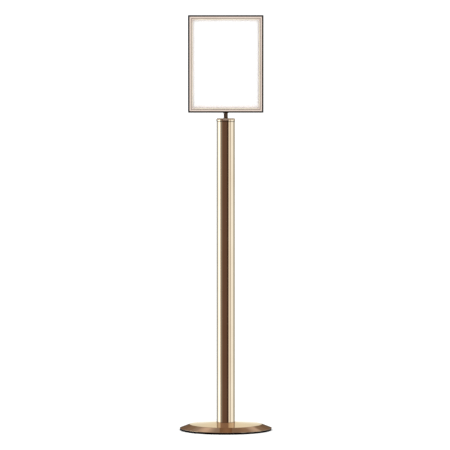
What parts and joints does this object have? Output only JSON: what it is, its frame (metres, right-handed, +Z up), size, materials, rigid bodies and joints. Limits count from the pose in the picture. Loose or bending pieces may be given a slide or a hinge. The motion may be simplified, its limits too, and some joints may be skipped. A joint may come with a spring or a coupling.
{
  "type": "sign stand",
  "caption": "Free-standing bronze sign stand: weighted round base, tube post and a rectangular top-loading frame that turns on a slim neck.",
  "frame": {"origin": "centre of the base's underside, on the floor", "axes": "+Z up along the post, -Y is the way the sign's front faces, +X to the right seen from the front"},
  "size_m": [0.3492, 0.3492, 1.5745],
  "materials": {
    "bronze": "polished statuary bronze, clear lacquer",
    "dark_bronze": "dark patinated bronze",
    "iron": "rough casting, black primer",
    "steel": "zinc plated",
    "rubber": "matt",
    "nylon": "natural, moulded",
    "card": "blank white sheet, matt",
    "lens": "clear acrylic sheet"
  },
  "bodies": {
    "stand": {"floor_pad": "rubber", "base_cover": "bronze", "base_weight": "iron", "tie_rod_washer": "steel", "tie_rod_nut": "steel", "tie_rod": "steel", "foot_plug": "steel", "post_tube": "bronze", "tie_plate": "steel", "tie_rod_top_nut": "steel", "post_cap": "bronze", "swivel_bush": "nylon", "neck_washer": "dark_bronze", "thrust_washer": "nylon"},
    "head": {"spring_washer": "steel", "lock_nut": "steel", "neck_stud": "dark_bronze", "neck_collar": "dark_bronze", "rail_bottom": "bronze", "rail_left": "bronze", "rail_right": "bronze", "rail_top": "bronze", "neck_bar": "steel", "bar_screw_left": "steel", "bar_screw_right": "steel", "corner_key_lower_left": "steel", "corner_plate_lower_left": "steel", "key_screw_lower_left_1": "steel", "key_screw_lower_left_2": "steel", "corner_key_upper_left": "steel", "corner_plate_upper_left": "steel", "key_screw_upper_left_1": "steel", "key_screw_upper_left_2": "steel", "corner_key_upper_right": "steel", "corner_plate_upper_right": "steel", "key_screw_upper_right_1": "steel", "key_screw_upper_right_2": "steel", "corner_key_lower_right": "steel", "corner_plate_lower_right": "steel", "key_screw_lower_right_1": "steel", "key_screw_lower_right_2": "steel"},
    "card": {"sign_card": "card"},
    "front_pane": {"front_lens": "lens"},
    "rear_pane": {"rear_lens": "lens"}
  },
  "joints": [
    {"name": "head_swivel", "type": "hinge", "parent": "stand", "child": "head", "pos_m": [0, 0, 1.1855], "axis": [0, 0, 1], "continuous": true},
    {"name": "card_slide", "type": "slide", "parent": "head", "child": "card", "axis": [0, 0, 1], "range_m": [0, 0.355]},
    {"name": "front_lens_slide", "type": "slide", "parent": "head", "child": "front_pane", "axis": [0, 0, 1], "range_m": [0, 0.355]},
    {"name": "rear_lens_slide", "type": "slide", "parent": "head", "child": "rear_pane", "axis": [0, 0, 1], "range_m": [0, 0.355]}
  ]
}
